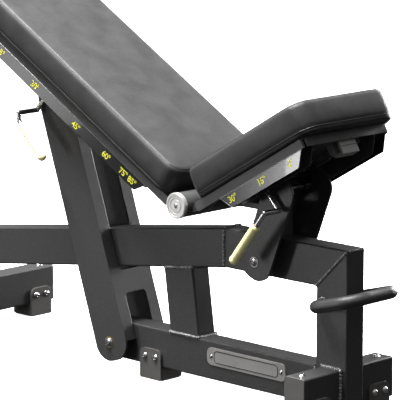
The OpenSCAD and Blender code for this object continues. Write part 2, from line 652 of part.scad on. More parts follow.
module back_flange() {
    for (x = [0, 10]) translate([x, 0]) circle(40);
    translate([-40, 0]) square([90, 520]);
    translate([10, 520]) circle(50);
    translate([10, 519]) square([40, 20]);
    translate([10, 519]) square([24, 50]);
    translate([34, 535]) circle(16);
    translate([latch_x, back_latch]) circle(17);
}
module backrest_prop() { color("#3c3c3e") back_prop_at() difference() {
    union() {
        slabs(flange_y - prop_t, flange_y) back_flange();
        difference() {
            translate([back_web_x - prop_t, -flange_y + 1, back_web_z[0]])
                cube([prop_t, prop_w - 2, back_web_z[1] - back_web_z[0]]);
            web_cut(-40, back_arch);
            web_cut(back_window[0], back_window[1]);
        }
    }
    prop_holes(bush_r, [latch_x, back_latch], back_release);
} }
module backrest_latch_bar() { color("#2a2a2c") back_prop_at() latch_bar([latch_x, back_latch]); }
module backrest_prop_bushes() { color("#b58a3c") frame_at() translate(back_pivot)
    rings_y(bush_r, bolt_r + run, 0.5, flange_y + 0.3); }

// release levers: the shaft through the prop, a crank beside it, and the bar that carries the grip
lever_y = [62, -67];                                // far end of the shaft, and the crank
module lever(p, q, g, y) {
    shaft = [[p[0], lever_y[0], p[1]], [p[0], lever_y[1], p[1]]];
    crank = [[q[0], lever_y[1], q[1]], [q[0], y, q[1]]];
    bent_rod(concat(shaft, crank, [for (v = g) [v[0], y, v[1]]]), release_r);
}
// dipped grip: a sleeve with a chamfered mouth and a bead at its closed end
grip_r = 9;
module grip(g0, g1, y) {
    l = norm(g1 - g0);
    along([g0[0], y, g0[1]], [g1[0], y, g1[1]]) rotate_extrude() difference() {
        union() {
            polygon([[0, -3], [grip_r - 2, -3], [grip_r, 0], [grip_r, l], [0, l]]);
            intersection() {
                translate([0, l]) circle(grip_r + 0.6);
                translate([0, l - 10]) square([2 * grip_r, 30]);
            }
        }
        translate([0, -10]) square([release_r, l + 10]);
    }
}
seat_grip_y = -108;
seat_crank = [27, 131];
seat_grip_end = [-10, 8];
seat_grip_start = seat_crank + 0.3 * (seat_grip_end - seat_crank);
back_grip_y = -119;
back_crank = [-41.3, 503];
back_bend = [-45, 486];
back_grip_end = [-3, 402];
back_grip_start = back_bend + 0.12 * (back_grip_end - back_bend);
module seat_lever() { color("#d6d6d9") seat_prop_at()
    lever(seat_release, seat_crank, [seat_grip_end], seat_grip_y); }
module seat_grip() { color("#dcd79a") seat_prop_at() grip(seat_grip_start, seat_grip_end, seat_grip_y); }
module backrest_lever() { color("#d6d6d9") back_prop_at()
    lever(back_release, back_crank, [back_bend, back_grip_end], back_grip_y); }
module backrest_grip() { color("#dcd79a") back_prop_at() grip(back_grip_start, back_grip_end, back_grip_y); }
// return springs on the release shafts, inside the props
coil_wire = 3;
coil_turns = 6;
module coil(p) { translate([p[0], 34, p[1]]) rotate([-90, 0, 0]) for (i = [0:coil_turns - 1])
    translate([0, 0, i * coil_wire * 0.9]) rotate_extrude()
        translate([release_r + 2.5, 0]) circle(coil_wire / 2); }
module seat_lever_spring() { color("#3a3a3c") seat_prop_at() coil(seat_release); }
module backrest_lever_spring() { color("#3a3a3c") back_prop_at() coil(back_release); }

front_post();
upper_beam_front();
upper_beam_rear();
rear_post();
center_strut();
lower_beam();
front_cross_tubes();
rear_cross_tubes();
end_plugs();
end_plug_screws();
cross_feet();
middle_foot();
foot_bolts();
lift_handle();
badge_plate();
badge_rivets();
hinge_carrier();
hinge_shaft();
hinge_end_caps();
hinge_cap_screws();
seat_prop_spacers();
seat_prop_bolt();
backrest_prop_bolt();
pivot_washers();
pivot_nuts();
wheel_brackets();
wheel_axles();
near_wheel_tyre();
near_wheel_hub();
far_wheel_tyre();
far_wheel_hub();
seat_pad();
seat_board();
seat_tray();
seat_scale_plates();
seat_inner_plates();
seat_racks();
seat_knuckles();
seat_bumper();
seat_board_screws();
backrest_pad();
backrest_board();
backrest_tray();
backrest_scale_plates();
backrest_inner_plates();
backrest_racks();
backrest_knuckles();
backrest_hinge_bushes();
backrest_board_screws();
seat_prop();
seat_latch_bar();
seat_lever();
seat_grip();
seat_lever_spring();
backrest_prop();
backrest_latch_bar();
backrest_prop_bushes();
backrest_lever();
backrest_grip();
backrest_lever_spring();
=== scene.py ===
"""Looks for the adjustable weight bench: materials, pads, weld beads, angle marks, light and camera."""
import json
import math
import bmesh
import bpy
import numpy as np
from mathutils import Matrix, Vector, noise
from mathutils.bvhtree import BVHTree


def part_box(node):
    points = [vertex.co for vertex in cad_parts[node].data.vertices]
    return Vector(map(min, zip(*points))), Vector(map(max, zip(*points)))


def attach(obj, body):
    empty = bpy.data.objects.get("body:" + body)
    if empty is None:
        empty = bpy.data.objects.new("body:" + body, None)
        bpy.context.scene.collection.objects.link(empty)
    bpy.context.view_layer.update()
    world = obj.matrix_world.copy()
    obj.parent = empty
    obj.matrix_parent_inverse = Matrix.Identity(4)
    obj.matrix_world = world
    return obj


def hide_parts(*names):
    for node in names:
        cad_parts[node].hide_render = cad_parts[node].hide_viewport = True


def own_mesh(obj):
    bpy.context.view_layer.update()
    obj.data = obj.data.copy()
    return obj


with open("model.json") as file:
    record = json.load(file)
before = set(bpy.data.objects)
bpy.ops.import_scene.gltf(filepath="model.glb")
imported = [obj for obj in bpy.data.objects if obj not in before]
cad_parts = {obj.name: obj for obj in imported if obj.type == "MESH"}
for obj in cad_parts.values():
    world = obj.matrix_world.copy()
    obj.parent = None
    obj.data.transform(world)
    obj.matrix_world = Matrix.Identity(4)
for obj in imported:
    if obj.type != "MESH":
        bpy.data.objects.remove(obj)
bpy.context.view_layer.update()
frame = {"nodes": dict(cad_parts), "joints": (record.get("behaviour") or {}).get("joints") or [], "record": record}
nodes = frame["nodes"]
joints = {j["name"]: j for j in frame["joints"]}

HINGE = Vector(joints["seat_tilt"]["pos_m"])
PAD_TILT = math.radians(30)


# ---- places on the two tilting panels: a runs along the pad from the hinge, n out of the pad ----
def panel(side):
    """Matrix from a panel's (a, y, n) to the row frame. The side is 1 for the seat and -1 for the backrest."""
    turn = Matrix.Rotation(-side * PAD_TILT, 4, "Y")
    return Matrix.Translation(HINGE) @ turn @ Matrix.Diagonal((side, 1, 1, 1))


SEAT = panel(1)
BACK = panel(-1)


def extent(node, matrix):
    """Lowest and highest corner of a CAD node in a panel's own directions."""
    inverse = matrix.inverted()
    points = np.array([inverse @ v.co for v in nodes[node].data.vertices])
    return Vector(points.min(0)), Vector(points.max(0))


# ---- materials: noise and cell scales are per metre, bump heights are metres ----
NOISE_SPREAD = (0.3, 0.7)  # where most values of a noise lie
BEVEL_SAMPLES = 6
RING_SCALE = 900


class Shader:
    """A small node-tree writer round one Principled BSDF."""

    def __init__(self, name, **values):
        self.material = bpy.data.materials.new(name)
        self.material.use_nodes = True
        self.tree = self.material.node_tree
        self.bsdf = self.tree.nodes["Principled BSDF"]
        for socket, value in values.items():
            self.bsdf.inputs[socket.replace("_", " ")].default_value = value
        self.coordinates = self.node("ShaderNodeTexCoord").outputs["Object"]

    def node(self, kind, **settings):
        made = self.tree.nodes.new(kind)
        for key, value in settings.items():
            setattr(made, key, value)
        return made

    def link(self, a, b):
        self.tree.links.new(a, b)
        return b

    def stretched(self, scale):
        """Object coordinates scaled unevenly, for brushing and grain."""
        mapping = self.node("ShaderNodeMapping")
        mapping.inputs["Scale"].default_value = scale
        self.link(self.coordinates, mapping.inputs["Vector"])
        return mapping.outputs["Vector"]

    def noise(self, scale, detail=3.0, vector=None):
        made = self.node("ShaderNodeTexNoise")
        made.inputs["Scale"].default_value = scale
        made.inputs["Detail"].default_value = detail
        self.link(vector or self.coordinates, made.inputs["Vector"])
        return made.outputs["Fac"]

    def cells(self, scale):
        made = self.node("ShaderNodeTexVoronoi")
        made.inputs["Scale"].default_value = scale
        self.link(self.coordinates, made.inputs["Vector"])
        return made.outputs["Distance"]

    def ramp(self, value, low, high, socket):
        """Maps a 0..1 value to a range of colours or numbers, on the named socket."""
        ramp = self.node("ShaderNodeValToRGB")
        for element, place, level in zip(ramp.color_ramp.elements, NOISE_SPREAD, (low, high)):
            element.position = place
            element.color = (*level, 1) if isinstance(level, tuple) else (level, level, level, 1)
        self.link(value, ramp.inputs["Fac"])
        self.link(ramp.outputs["Color"], self.bsdf.inputs[socket])

    def bumps(self, layers, soft_edge=0.0):
        """Stacks bump layers of (value, strength, height in metres) over an optionally rounded edge."""
        normal = None
        if soft_edge:
            bevel = self.node("ShaderNodeBevel", samples=BEVEL_SAMPLES)
            bevel.inputs["Radius"].default_value = soft_edge
            normal = bevel.outputs["Normal"]
        for value, strength, height in layers:
            bump = self.node("ShaderNodeBump")
            bump.inputs["Strength"].default_value = strength
            bump.inputs["Distance"].default_value = height
            self.link(value, bump.inputs["Height"])
            if normal:
                self.link(normal, bump.inputs["Normal"])
            normal = bump.outputs["Normal"]
        if normal:
            self.link(normal, self.bsdf.inputs["Normal"])


def grey(level, warm=0.0):
    return (level * (1 + warm), level, level * (1 - warm))


def powder_coat():
    s = Shader("powder_coat", Roughness=0.42, Specular_IOR_Level=0.5)
    s.ramp(s.noise(420, 3), grey(0.03), grey(0.048), "Base Color")
    s.bumps([(s.noise(900, 2), 0.5, 0.0007), (s.noise(14, 3), 0.05, 0.002)], soft_edge=0.0014)
    return s.material


def weld_metal():
    s = Shader("weld_bead", Metallic=0.3, Roughness=0.28)
    s.ramp(s.noise(300, 3), grey(0.05), grey(0.5), "Base Color")
    s.bumps([(s.noise(500, 3), 0.5, 0.0008)])
    return s.material


def grey_plastic():
    s = Shader("grey_plastic", Roughness=0.5)
    s.ramp(s.noise(30, 4), grey(0.075, 0.05), grey(0.09, 0.05), "Base Color")
    s.bumps([(s.cells(1300), 0.2, 0.0004), (s.noise(60, 3), 0.06, 0.001)], soft_edge=0.0012)
    return s.material


def chrome():
    s = Shader("chrome", Metallic=1.0)
    s.bsdf.inputs["Base Color"].default_value = (0.58, 0.57, 0.58, 1)
    s.ramp(s.noise(50, 4), 0.2, 0.3, "Roughness")
    s.bumps([(s.noise(300, 2), 0.04, 0.0003)], soft_edge=0.0008)
    return s.material


def brushed_metal():
    s = Shader("brushed_metal", Metallic=0.55, Anisotropic=0.4)
    grain = s.noise(60, 6, s.stretched((2, 20, 60)))
    s.ramp(grain, grey(0.42, 0.03), grey(0.56, 0.03), "Base Color")
    s.ramp(s.noise(25, 3), 0.28, 0.4, "Roughness")
    s.bumps([(grain, 0.12, 0.0003)], soft_edge=0.0008)
    return s.material


def turned_metal():
    """Lathe-turned faces of the hinge caps: rings about the hinge line."""
    s = Shader("turned_metal", Metallic=0.5)
    offset = s.node("ShaderNodeVectorMath", operation="SUBTRACT")
    offset.inputs[1].default_value = HINGE
    s.link(s.coordinates, offset.inputs[0])
    flat = s.node("ShaderNodeVectorMath", operation="MULTIPLY")
    flat.inputs[1].default_value = (1, 0, 1)
    s.link(offset.outputs[0], flat.inputs[0])
    radius = s.node("ShaderNodeVectorMath", operation="LENGTH")
    s.link(flat.outputs[0], radius.inputs[0])
    rings = s.node("ShaderNodeTexNoise", noise_dimensions="1D")
    rings.inputs["Scale"].default_value = RING_SCALE
    s.link(radius.outputs["Value"], rings.inputs["W"])
    s.ramp(rings.outputs["Fac"], grey(0.38, 0.015), grey(0.5, 0.015), "Base Color")
    s.ramp(s.noise(40, 3), 0.3, 0.42, "Roughness")
    s.bumps([(rings.outputs["Fac"], 0.12, 0.0004)], soft_edge=0.0008)
    return s.material


def zinc_steel():
    s = Shader("zinc_steel", Metallic=1.0)
    s.ramp(s.cells(220), grey(0.3), grey(0.42), "Base Color")
    s.ramp(s.noise(80, 4), 0.35, 0.5, "Roughness")
    s.bumps([(s.noise(400, 3), 0.1, 0.0004)], soft_edge=0.0006)
    return s.material


def bronze():
    s = Shader("bronze", Metallic=1.0)
    s.ramp(s.noise(400, 3), (0.36, 0.22, 0.09), (0.5, 0.33, 0.15), "Base Color")
    s.ramp(s.noise(60, 3), 0.35, 0.5, "Roughness")
    s.bumps([(s.cells(900), 0.1, 0.0003)])
    return s.material


def rubber():
    s = Shader("rubber", Roughness=0.7)
    s.ramp(s.noise(60, 4), grey(0.014), grey(0.026), "Base Color")
    s.bumps([(s.noise(700, 3), 0.2, 0.0004)], soft_edge=0.001)
    return s.material


def leatherette():
    s = Shader("leatherette", Specular_IOR_Level=0.22, Sheen_Weight=0.04, Sheen_Roughness=0.4)
    s.ramp(s.noise(22, 6), grey(0.018), grey(0.03), "Base Color")
    s.ramp(s.noise(160, 4), 0.46, 0.6, "Roughness")
    s.bumps([(s.cells(620), 0.3, 0.0007), (s.noise(1100, 3), 0.25, 0.0005), (s.noise(28, 4), 0.12, 0.003)])
    return s.material


def piping():
    s = Shader("piping", Roughness=0.45)
    s.ramp(s.noise(300, 3), grey(0.008), grey(0.016), "Base Color")
    s.bumps([(s.noise(900, 2), 0.2, 0.0004)])
    return s.material


def plywood():
    s = Shader("plywood", Roughness=0.65)
    grain = s.noise(14, 8, s.stretched((1, 9, 30)))
    s.ramp(grain, (0.36, 0.23, 0.12), (0.56, 0.4, 0.23), "Base Color")
    s.bumps([(grain, 0.15, 0.0006)], soft_edge=0.0008)
    return s.material


def satin_black():
    s = Shader("satin_black", Roughness=0.22, Coat_Weight=0.3)
    s.ramp(s.noise(30, 3), grey(0.006), grey(0.01), "Base Color")
    s.bumps([(s.noise(700, 2), 0.06, 0.0003)], soft_edge=0.0008)
    return s.material


def light_grey_metal():
    s = Shader("light_grey_metal", Roughness=0.45)
    s.ramp(s.noise(20, 3), grey(0.22, 0.02), grey(0.27, 0.02), "Base Color")
    s.bumps([(s.noise(700, 2), 0.15, 0.0004)], soft_edge=0.001)
    return s.material


def yellow_grip():
    s = Shader("yellow_grip", Roughness=0.42, Subsurface_Weight=0.15, Subsurface_Scale=0.004)
    s.ramp(s.noise(25, 3), (0.9, 0.86, 0.42), (0.96, 0.93, 0.5), "Base Color")
    s.bumps([(s.noise(90, 3), 0.12, 0.0008)], soft_edge=0.001)
    return s.material


def yellow_mark():
    s = Shader("yellow_mark", Roughness=0.5)
    s.ramp(s.noise(200, 2), (0.7, 0.66, 0.03), (0.8, 0.76, 0.06), "Base Color")
    s.bumps([(s.noise(900, 2), 0.1, 0.0002)])
    return s.material


# Painted highlight: a light grey colour for the thin lines that stand in for the light caught on the scale plates'
# chamfered edges.
def painted_edge_highlight():
    s = Shader("painted_edge_highlight", Roughness=0.35)
    s.ramp(s.noise(200, 2), grey(0.6), grey(0.8), "Base Color")
    s.bumps([(s.noise(900, 2), 0.1, 0.0002)])
    return s.material


def pale_floor():
    s = Shader("pale_floor", Roughness=0.9, Emission_Color=(1, 1, 1, 1), Emission_Strength=0.9)
    s.ramp(s.noise(2, 2), grey(0.93), grey(0.95), "Base Color")
    return s.material


MAKERS = [powder_coat, weld_metal, grey_plastic, chrome, brushed_metal, turned_metal, zinc_steel, bronze, rubber,
          leatherette, piping, plywood, satin_black, light_grey_metal, yellow_grip, yellow_mark, painted_edge_highlight,
          pale_floor]
LOOK = {maker.__name__: maker() for maker in MAKERS}


def paint_nodes():
    """Every CAD node takes the material of its slot in the record, apart from the turned hinge caps."""
    for part in frame["record"]["subparts"]:
        node = nodes[part["node"]]
        look = LOOK["turned_metal"] if part["node"] == "hinge_end_caps" else LOOK[part["material_slot"]]
        node.data.materials.clear()
        node.data.materials.append(look)


# ---- mesh helpers ----
def new_object(name, mesh):
    made = bpy.data.objects.new(name, mesh)
    bpy.context.scene.collection.objects.link(made)
    return made


def mesh_object(name, verts, faces, look, smooth=True):
    mesh = bpy.data.meshes.new(name)
    mesh.from_pydata([tuple(v) for v in verts], [], faces)
    work = bmesh.new()
    work.from_mesh(mesh)
    bmesh.ops.recalc_face_normals(work, faces=work.faces)
    work.to_mesh(mesh)
    work.free()
    mesh.materials.append(LOOK[look])
    mesh.polygons.foreach_set("use_smooth", [smooth] * len(mesh.polygons))
    return new_object(name, mesh)


def ring_faces(rings, points, closed=False):
    """Quads between successive rings, each of the same number of points."""
    faces = []
    for i in range(rings if closed else rings - 1):
        j = (i + 1) % rings
        for k in range(points):
            m = (k + 1) % points
            faces.append((i * points + k, i * points + m, j * points + m, j * points + k))
    return faces


def tube(path, radii, closed=False, sides=10):
    """Vertices and faces of a tube swept along a path."""
    verts = []
    count = len(path)
    side_axis = None
    for i, centre in enumerate(path):
        if closed:
            ahead = path[(i + 1) % count] - path[i - 1]
        else:
            ahead = path[min(i + 1, count - 1)] - path[max(i - 1, 0)]
        ahead = ahead.normalized()
        if side_axis is None:
            side_axis = ahead.orthogonal().normalized()
        side_axis = (side_axis - ahead * side_axis.dot(ahead)).normalized()
        up = ahead.cross(side_axis)
        for k in range(sides):
            angle = 2 * math.pi * k / sides
            verts.append(centre + (side_axis * math.cos(angle) + up * math.sin(angle)) * radii[i])
    faces = ring_faces(count, sides, closed)
    if not closed:
        faces += [tuple(range(sides)), tuple(range((count - 1) * sides, count * sides))]
    return verts, faces


# ---- upholstered pads ----
OUTLINE_STEP = 0.008
CORNER_STEPS = 6  # the fewest round one corner


def outline(low, high, half, r_low, r_high):
    """Rounded rectangle in (a, y), evenly spaced, as (point, outward direction) pairs."""
    centres = [(high - r_high, half - r_high, r_high), (low + r_low, half - r_low, r_low),
               (low + r_low, -half + r_low, r_low), (high - r_high, -half + r_high, r_high)]
    made = []
    for i, (ca, cy, r) in enumerate(centres):
        steps = max(CORNER_STEPS, round(r * math.pi / 2 / OUTLINE_STEP))
        for k in range(steps + 1):
            angle = math.pi / 2 * (i + k / steps)
            out = Vector((math.cos(angle), math.sin(angle)))
            made.append((Vector((ca, cy)) + out * r, out))
        na, ny, nr = centres[(i + 1) % 4]
        angle = math.pi / 2 * (i + 1)
        out = Vector((math.cos(angle), math.sin(angle)))
        start, end = Vector((ca, cy)) + out * r, Vector((na, ny)) + out * nr
        gaps = max(1, round((end - start).length / OUTLINE_STEP))
        made += [(start.lerp(end, k / gaps), out) for k in range(1, gaps)]
    return made


SIDE_BULGE = 0.0025
BASE_FOLD = 0.003
WALL_STEPS = 7
UNDERSIDE = (0.012, 0.002)                      # insets of the rings on the flat base
SHOULDER = ((0.004, 0.45), (0.011, 0.75))       # (inset, share of the rise from seam to crown)
TOP = ((0.025, 0.0008), (0.045, 0), (0.08, 0))  # (inset, depth below the crown)


def pad_shell(loop, base, seam, crown):
    """Closed shell in (a, y, n): flat base, side wall, sewn edge at the seam and a crowned top."""
    centre = sum((p for p, _ in loop), Vector((0, 0))) / len(loop)
    fold = base + BASE_FOLD
    profile = [(inset, base) for inset in UNDERSIDE] + [(0, fold)]
    profile += [(-SIDE_BULGE * math.sin(math.pi * k / WALL_STEPS),
                 fold + (seam - base - BASE_FOLD) * k / WALL_STEPS) for k in range(1, WALL_STEPS)]
    profile += [(0.0, seam)] + [(inset, seam + share * (crown - seam)) for inset, share in SHOULDER]
    profile += [(inset, crown - drop) for inset, drop in TOP]
    verts, count = [], len(loop)
    for inset, n in profile:
        for point, out in loop:
            p = point - out * inset
            verts.append(Vector((p.x, p.y, n)))
    faces = ring_faces(len(profile), count)
    for n, first in ((base, 0), (crown, (len(profile) - 1) * count)):
        middle = len(verts)
        verts.append(Vector((centre.x, centre.y, n)))
        faces += [(first + (k + 1) % count, first + k, middle) for k in range(count)]
    return verts, faces


def evaluated_mesh(obj):
    graph = bpy.context.evaluated_depsgraph_get()
    return bpy.data.meshes.new_from_object(obj.evaluated_get(graph))


def bake_modifiers(obj):
    old = obj.data
    obj.data = evaluated_mesh(obj)
    obj.modifiers.clear()
    bpy.data.meshes.remove(old)


VOXEL = 0.005
SIM_FRAMES = 20
PRESSURE = 4.0
PAD_CAP = 0.007    # the furthest that swelling moves a point
NO_SHIFT = 1e-9    # keeps the division by a length away from zero


def swell(obj, pinned, pressure, cap):
    """Inflates the pad as cloth, held where pinned() is true, and moves no point further than cap."""
    group = obj.vertex_groups.new(name="sewn")
    rest = np.array([v.co for v in obj.data.vertices])
    held = [i for i, co in enumerate(rest) if pinned(co)]
    group.add(held, 1.0, "REPLACE")
    cloth = obj.modifiers.new("cloth", "CLOTH")
    cloth.settings.use_pressure = True
    cloth.settings.uniform_pressure_force = pressure
    cloth.settings.quality = 4
    cloth.settings.mass = 0.35
    cloth.settings.tension_stiffness = 12
    cloth.settings.compression_stiffness = 12
    cloth.settings.shear_stiffness = 6
    cloth.settings.bending_stiffness = 2.5
    cloth.settings.vertex_group_mass = group.name
    cloth.settings.effector_weights.gravity = 0
    cloth.point_cache.frame_end = SIM_FRAMES
    for step in range(1, SIM_FRAMES + 1):
        bpy.context.scene.frame_set(step)
    graph = bpy.context.evaluated_depsgraph_get()
    moved = np.array([v.co for v in obj.evaluated_get(graph).data.vertices])
    obj.modifiers.remove(cloth)
    bpy.context.scene.frame_set(1)
    shift = moved - rest
    length = np.linalg.norm(shift, axis=1, keepdims=True)
    shift *= np.minimum(1, cap / np.maximum(length, NO_SHIFT))
    obj.data.vertices.foreach_set("co", (rest + shift).astype(np.float32).ravel())
    obj.vertex_groups.clear()
    obj.data.update()


CAST_FROM = 0.03
CAST_REACH = 0.08


def seam_line(name, surface, loop, height, radius, sink):
    """A sewn cord laid round the pad at one height, half sunk in the cover."""
    tree = BVHTree.FromObject(surface, bpy.context.evaluated_depsgraph_get())
    path = []
    for point, out in loop:
        start = Vector((point.x, point.y, height)) + Vector((out.x, out.y, 0)) * CAST_FROM
        hit = tree.ray_cast(start, Vector((-out.x, -out.y, 0)), CAST_REACH)[0]
        if hit:
            path.append(hit - Vector((out.x, out.y, 0)) * sink)
    verts, faces = tube(path, [radius] * len(path), closed=True, sides=8)
    return mesh_object(name, verts, faces, "piping")


def join(target, *others):
    with bpy.context.temp_override(active_object=target, object=target,
                                   selected_editable_objects=[target, *others]):
        bpy.ops.object.join()


PAD_SIDE_INSET = 0.0035
SEAM_HEIGHT = 0.0625   # these three are above the pad's base
CROWN_HEIGHT = 0.0665
WELT_HEIGHT = 0.0095
PIN_RIM, PIN_BASE, PIN_SEAM = 0.006, 0.004, 0.003
EDGE_CORD = (0.0011, 0.0006)  # radius of the cord, and how deep it is sunk
WELT_CORD = (0.0016, 0.0008)


def upholstered(name, node, matrix, low, high, r_low, r_high, body):
    """One pad: shell, cloth swelling, a sewn edge round the top and a welt above the base."""
    box_low, box_high = extent(node, matrix)
    half = box_high.y - PAD_SIDE_INSET
    base, seam, crown = box_low.z, box_low.z + SEAM_HEIGHT, box_low.z + CROWN_HEIGHT
    welt_at = base + WELT_HEIGHT
    loop = outline(low, high, half, r_low, r_high)
    verts, faces = pad_shell(loop, base, seam, crown)
    pad = mesh_object(name, verts, faces, "leatherette")
    remesh = pad.modifiers.new("remesh", "REMESH")
    remesh.mode, remesh.voxel_size, remesh.use_smooth_shade = "VOXEL", VOXEL, True
    bake_modifiers(pad)
    def pinned(co):
        outside = abs(co[1]) > half - PIN_RIM or co[0] < low + PIN_RIM or co[0] > high - PIN_RIM
        return co[2] < base + PIN_BASE or (outside and abs(co[2] - seam) < PIN_SEAM)
    swell(pad, pinned, PRESSURE, PAD_CAP)
    smooth = pad.modifiers.new("relax", "SMOOTH")
    smooth.factor, smooth.iterations = 0.5, 3
    bake_modifiers(pad)
    groove(pad, seam)
    groove(pad, welt_at)
    pad.modifiers.new("subdivide", "SUBSURF").levels = 1
    pad.modifiers["subdivide"].render_levels = 1
    bake_modifiers(pad)
    edge = seam_line(name + "_edge", pad, loop, seam, *EDGE_CORD)
    welt = seam_line(name + "_welt", pad, loop, welt_at, *WELT_CORD)
    join(pad, edge, welt)
    if body == "seat":
        hollow_for_carrier(pad, base)
    pad.data.transform(matrix)
    if matrix.determinant() < 0:
        pad.data.flip_normals()
    pad.data.polygons.foreach_set("use_smooth", [True] * len(pad.data.polygons))
    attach(pad, body)
    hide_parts(node)
    return pad


GROOVE_WIDTH, GROOVE_DEPTH = 0.0035, 0.0016
SIDEWAYS = 0.4  # how far out a normal points where the surface counts as side wall


def groove(obj, height):
    """Presses a shallow line into the side wall at one height."""
    obj.data.update()
    for v in obj.data.vertices:
        out = Vector((v.normal.x, v.normal.y, 0))
        if out.length > SIDEWAYS:
            v.co -= out.normalized() * GROOVE_DEPTH * math.exp(-(((v.co.z - height) / GROOVE_WIDTH) ** 2))


END_INSET = 0.002
ARM_ROOM = Vector((0.176, 0.028, 0.018))  # length, half width and height of the hollow for the hinge carrier


def hollow_for_carrier(pad, low):
    """Lifts the underside of the seat pad clear of the hinge carrier's arm."""
    for v in pad.data.vertices:
        if v.co.x < ARM_ROOM.x and abs(v.co.y) < ARM_ROOM.y:
            v.co.z = max(v.co.z, low + ARM_ROOM.z)


def pads():
    """Both pads, each built from its pad node and ending a little short of the node's far end."""
    for name, node, matrix, r_low, r_high, body in (
            ("seat_upholstery", "seat_pad", SEAT, 0.022, 0.038, "seat"),
            ("backrest_upholstery", "backrest_pad", BACK, 0.034, 0.038, "backrest")):
        low, high = (v.x for v in extent(node, matrix))
        pad = upholstered(name, node, matrix, low, high - END_INSET, r_low, r_high, body)
        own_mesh(pad)


LINING = 0.055     # how far the lining reaches along the board
LINING_T = 0.0008  # its thickness


def board_linings():
    """Black lining round the hinge end of each board, which shows once a pad has shortened."""
    gap = ARM_ROOM.y
    for node, matrix, body, sides in (("seat_board", SEAT, "seat", ((-1, -gap), (gap, 1))),
                                      ("backrest_board", BACK, "backrest", ((-1, 1),))):
        low, high = extent(node, matrix)
        for i, (y0, y1) in enumerate(sides):
            y0, y1 = max(y0, low.y - LINING_T), min(y1, high.y + LINING_T)
            corners = [matrix @ Vector((a, y, n)) for a in (low.x - LINING_T, low.x + LINING)
                       for y in (y0, y1) for n in (low.z, high.z + LINING_T)]
            faces = [(0, 1, 3, 2), (4, 6, 7, 5), (0, 4, 5, 1), (2, 3, 7, 6), (0, 2, 6, 4), (1, 5, 7, 3)]
            lining = mesh_object(f"{body}_lining_{i}", corners, faces, "leatherette", smooth=False)
            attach(lining, body)


# ---- weld beads ----
RIPPLE = 0.0065
BEAD_GAIN = 1.25
BEAD_STEP = 0.0011
WOBBLE_SCALE, WOBBLE = 120, 0.0005
BULGE_LEAST, BULGE_RIPPLE, BULGE_NOISE, BULGE_SCALE = 0.65, 0.55, 0.2, 90
PROUD = 0.0006       # how far a bead stands off the face it lies on
WELD_INSET = 0.003   # how far it stops short of an edge


def bead(name, path, radius, body="frame"):
    """A rippled weld bead along a polyline of row-frame points."""
    radius *= BEAD_GAIN
    points, radii, travelled = [], [], 0.0
    for start, end in zip(path, path[1:]):
        steps = max(2, round((end - start).length / BEAD_STEP))
        for k in range(steps):
            p = start.lerp(end, k / steps)
            wobble = noise.noise_vector(p * WOBBLE_SCALE) * WOBBLE
            points.append(p + wobble)
            phase = (travelled + (end - start).length * k / steps) / RIPPLE
            radii.append(radius * (BULGE_LEAST + BULGE_RIPPLE * abs(math.sin(math.pi * phase))
                                   + BULGE_NOISE * noise.noise(p * BULGE_SCALE)))
        travelled += (end - start).length
    verts, faces = tube(points, radii, sides=8)
    made = mesh_object(name, verts, faces, "weld_metal")
    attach(made, body)


def welds():
    """Beads on the frame's mitre, its seam and the joints of the cross tubes and the lower beam."""
    post_low, post_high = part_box("front_post")
    beam_low, beam_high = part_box("upper_beam_front")
    lower_low, lower_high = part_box("lower_beam")
    front_low, front_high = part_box("front_cross_tubes")
    rear_low, rear_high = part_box("rear_cross_tubes")
    half = post_high.y
    depth = post_high.x - post_low.x
    inset = WELD_INSET
    for s, tag in ((-1, "near"), (1, "far")):
        y = s * (half + PROUD)
        bead(f"weld_mitre_{tag}", [Vector((post_low.x, y, post_high.z - depth)),
                                   Vector((post_high.x - inset, y, post_high.z - inset))], 0.0024)
        bead(f"weld_seam_{tag}", [Vector((beam_low.x, y, beam_low.z + inset)),
                                  Vector((beam_low.x, y, beam_high.z - inset))], 0.0024)
        bead(f"weld_cross_{tag}", [Vector((front_high.x, y, front_low.z + inset)),
                                   Vector((front_high.x, y, front_high.z)),
                                   Vector((front_low.x, y, front_high.z + 0.001))], 0.003)
        bead(f"weld_lower_{tag}", [Vector((lower_high.x, y, lower_low.z + inset)),
                                   Vector((lower_high.x, y, lower_high.z - inset))], 0.0026)
        bead(f"weld_rear_{tag}", [Vector((rear_high.x, y, rear_low.z + inset)),
                                  Vector((rear_high.x, y, rear_high.z)),
                                  Vector((rear_low.x, y, rear_high.z))], 0.0028)
    sunk = 0.0024  # the bumper lands beside this bead, so it stays low
    bead("weld_mitre_top", [Vector((post_high.x - sunk, -half + inset, post_high.z - sunk)),
                            Vector((post_high.x - sunk, half - inset, post_high.z - sunk))], 0.0022)
    bead("weld_seam_top", [Vector((beam_low.x, -half + inset, beam_high.z)),
                           Vector((beam_low.x, half - inset, beam_high.z))], 0.0026)


ON_FACE = 0.0005     # a vertex this near a face lies on it
STRUT_CLEAR = 0.06   # only vertices this far above the foot can belong to the head
STRUT_LEAN = 0.03    # the head splits into front and rear this far behind the foot's middle


def strut_welds():
    """Beads where the leaning strut meets the two beams."""
    strut = [v.co for v in nodes["center_strut"].data.vertices]
    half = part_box("center_strut")[1].y + PROUD
    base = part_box("lower_beam")[1].z
    foot_x = [p.x for p in strut if abs(p.z - base) < ON_FACE]
    low, high = min(foot_x), max(foot_x)
    bead("weld_strut_foot", [Vector((low, -half, base)), Vector((high, -half, base)),
                             Vector((high + 0.001, half, base)), Vector((low, half, base))], 0.0026)
    top = {}
    for p in strut:
        if p.z > base + STRUT_CLEAR:
            key = "front" if p.x > (low + high) / 2 - STRUT_LEAN else "rear"
            if key not in top or p.z > top[key].z:
                top[key] = p
    front, rear = top["front"], top["rear"]
    bead("weld_strut_head", [Vector((rear.x, half, rear.z)), Vector((rear.x, -half, rear.z)),
                             Vector((front.x, -half, front.z)), Vector((front.x, half, front.z))], 0.0024)


COLLAR_PROUD = 0.0008
COLLAR_POINTS = 33


